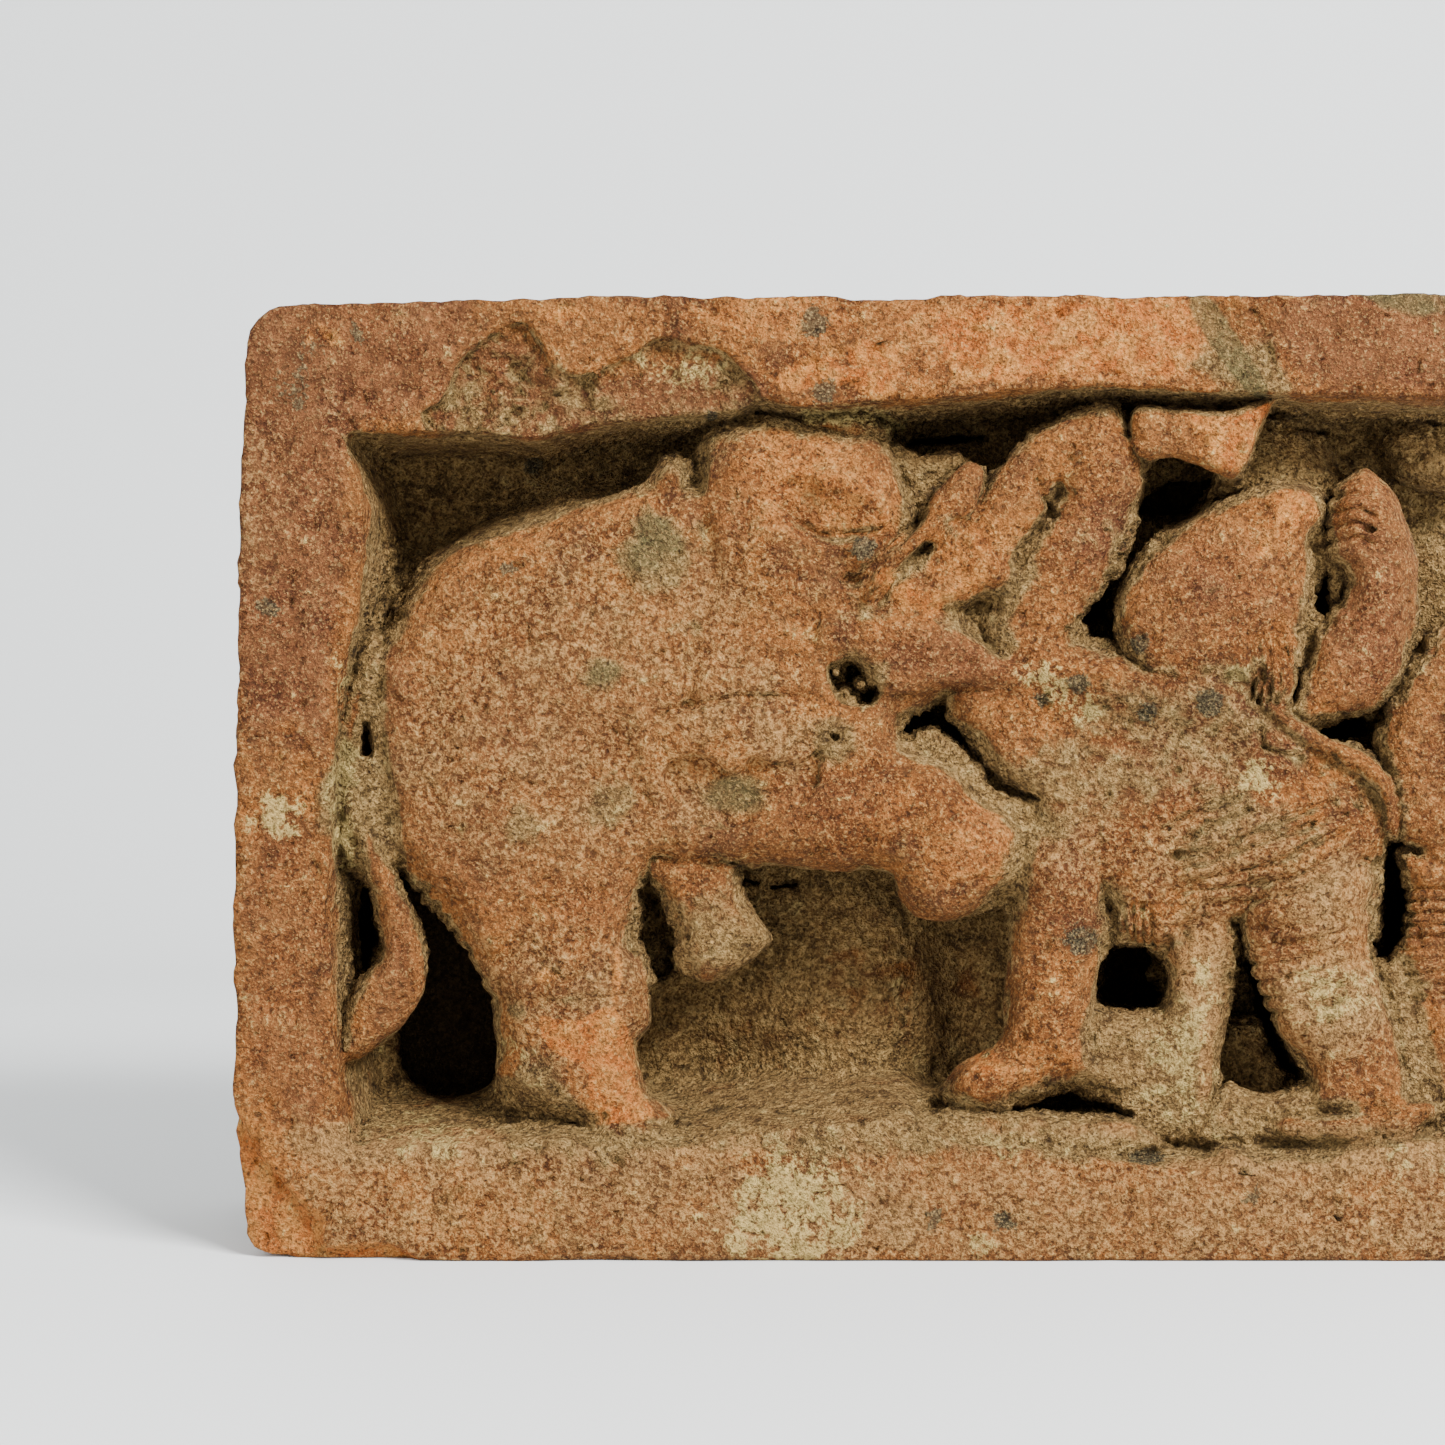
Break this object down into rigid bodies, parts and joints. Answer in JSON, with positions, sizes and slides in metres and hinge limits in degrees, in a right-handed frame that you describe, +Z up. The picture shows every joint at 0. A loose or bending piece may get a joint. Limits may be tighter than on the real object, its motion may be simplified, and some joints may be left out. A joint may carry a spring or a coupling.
{
  "type": "stone relief panel",
  "caption": "Upright block from a carved sandstone frieze: a deep sunk panel in a plain frame, with an elephant and soldiers in high relief, square at one end.",
  "frame": {"origin": "middle of the underside, at the centre of the part's box", "axes": "+Z up; +X along the face, from the framed end to the sawn end; -Y out of the carved face"},
  "size_m": [0.3, 0.08, 0.225],
  "materials": {
    "sandstone": "worn red sandstone, gritty and matt, with soil in its hollows"
  },
  "bodies": {
    "root": {"relief_panel": "sandstone"}
  },
  "joints": []
}
